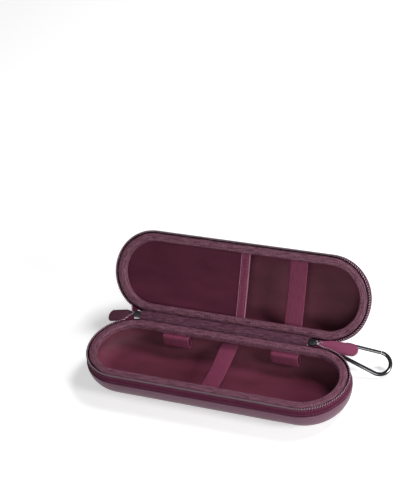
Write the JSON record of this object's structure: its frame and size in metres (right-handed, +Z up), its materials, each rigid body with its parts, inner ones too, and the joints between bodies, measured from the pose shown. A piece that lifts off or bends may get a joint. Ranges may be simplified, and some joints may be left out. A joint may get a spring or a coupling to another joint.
{
  "type": "electric toothbrush travel case",
  "caption": "Long rounded hard case in two halves joined by a fabric hinge, with a zipper, two sliders with pull tabs, inner straps, loops, a pocket and a carabiner.",
  "frame": {"origin": "centre of the flat underside of the base half", "axes": "+Z up, +X along the case towards the end with the carabiner, +Y towards the hinge"},
  "size_m": [0.2664, 0.1444, 0.0889],
  "materials": {
    "shell_skin": "satin",
    "foam": "matte",
    "lining": "matte",
    "binding": "woven",
    "zip_tape": "woven",
    "zip_coil": "satin",
    "strap": "woven",
    "spine": "satin",
    "hinge_cloth": "grained",
    "pull_tab": "satin",
    "slider_metal": "satin",
    "carabiner_metal": "polished",
    "spring_steel": "plain"
  },
  "bodies": {
    "base": {"base_outer_skin": "shell_skin", "base_foam_core": "foam", "base_lining": "lining", "base_rim_binding": "binding", "base_zip_tape": "zip_tape", "base_zip_coil": "zip_coil", "base_strap": "strap", "brush_loop_left": "strap", "brush_loop_right": "strap", "spine_panel": "spine", "hinge_tape": "hinge_cloth", "carabiner_loop": "strap"},
    "lid": {"lid_outer_skin": "shell_skin", "lid_foam_core": "foam", "lid_lining": "lining", "lid_rim_binding": "binding", "lid_zip_tape": "zip_tape", "lid_zip_coil": "zip_coil", "lid_strap": "strap", "lid_pocket_panel": "lining", "lid_pocket_edge": "strap"},
    "left_zip_end": {"left_zip_stop": "slider_metal"},
    "right_zip_end": {"right_zip_stop": "slider_metal"},
    "left_slider": {"left_slider": "slider_metal"},
    "right_slider": {"right_slider": "slider_metal"},
    "left_pull": {"left_pull_link": "slider_metal", "left_pull_tab": "pull_tab"},
    "right_pull": {"right_pull_link": "slider_metal", "right_pull_tab": "pull_tab"},
    "carabiner": {"carabiner_body": "carabiner_metal", "carabiner_gate_pin": "carabiner_metal", "carabiner_gate_spring": "spring_steel"},
    "gate": {"carabiner_gate": "carabiner_metal"}
  },
  "joints": [
    {"name": "lid_hinge", "type": "hinge", "parent": "base", "child": "lid", "pos_m": [0, 0.0402, 0.0274], "axis": [1, 0, 0], "range_deg": [0, 125], "deforming": ["spine_panel", "hinge_tape"]},
    {"name": "left_zip_end_turn", "type": "hinge", "parent": "base", "child": "left_zip_end", "pos_m": [-0.08, 0.03765, 0.02725], "axis": [1, 0, 0], "range_deg": [0, 62.5]},
    {"name": "right_zip_end_turn", "type": "hinge", "parent": "base", "child": "right_zip_end", "pos_m": [0.07, 0.03765, 0.02725], "axis": [1, 0, 0], "range_deg": [0, 62.5]},
    {"name": "left_slider_travel", "type": "hinge", "parent": "left_zip_end", "child": "left_slider", "pos_m": [-0.08125, 0.02341, 0.06229], "axis": [0, 0.887, 0.4617], "range_deg": [0, 167]},
    {"name": "right_slider_travel", "type": "slide", "parent": "right_zip_end", "child": "right_slider", "axis": [1, 0, 0], "range_m": [0, 0.007]},
    {"name": "left_pull_swing", "type": "hinge", "parent": "left_slider", "child": "left_pull", "pos_m": [-0.0916, 0.04124, 0.02804], "axis": [0, 0.887, 0.4617], "range_deg": [-125, 36]},
    {"name": "right_pull_swing", "type": "hinge", "parent": "right_slider", "child": "right_pull", "pos_m": [0.0749, 0.04186, 0.02685], "axis": [0, 0.887, 0.4617], "range_deg": [-1, 1.5]},
    {"name": "carabiner_swing", "type": "hinge", "parent": "base", "child": "carabiner", "pos_m": [0.09717, 0.04383, 0.01787], "axis": [0.5895, -0.5985, -0.5424], "range_deg": [-35, 25]},
    {"name": "gate_turn", "type": "hinge", "parent": "carabiner", "child": "gate", "pos_m": [0.10154, 0.05316, 0.02105], "axis": [-0.3259, 0.4382, -0.8377], "range_deg": [0, 22], "stiffness_Nm_per_rad": 0.01, "springref_deg": -17.19}
  ],
  "couplings": [
    {"joint": "left_zip_end_turn", "follows": "lid_hinge", "ratio": 0.5},
    {"joint": "right_zip_end_turn", "follows": "lid_hinge", "ratio": 0.5}
  ]
}
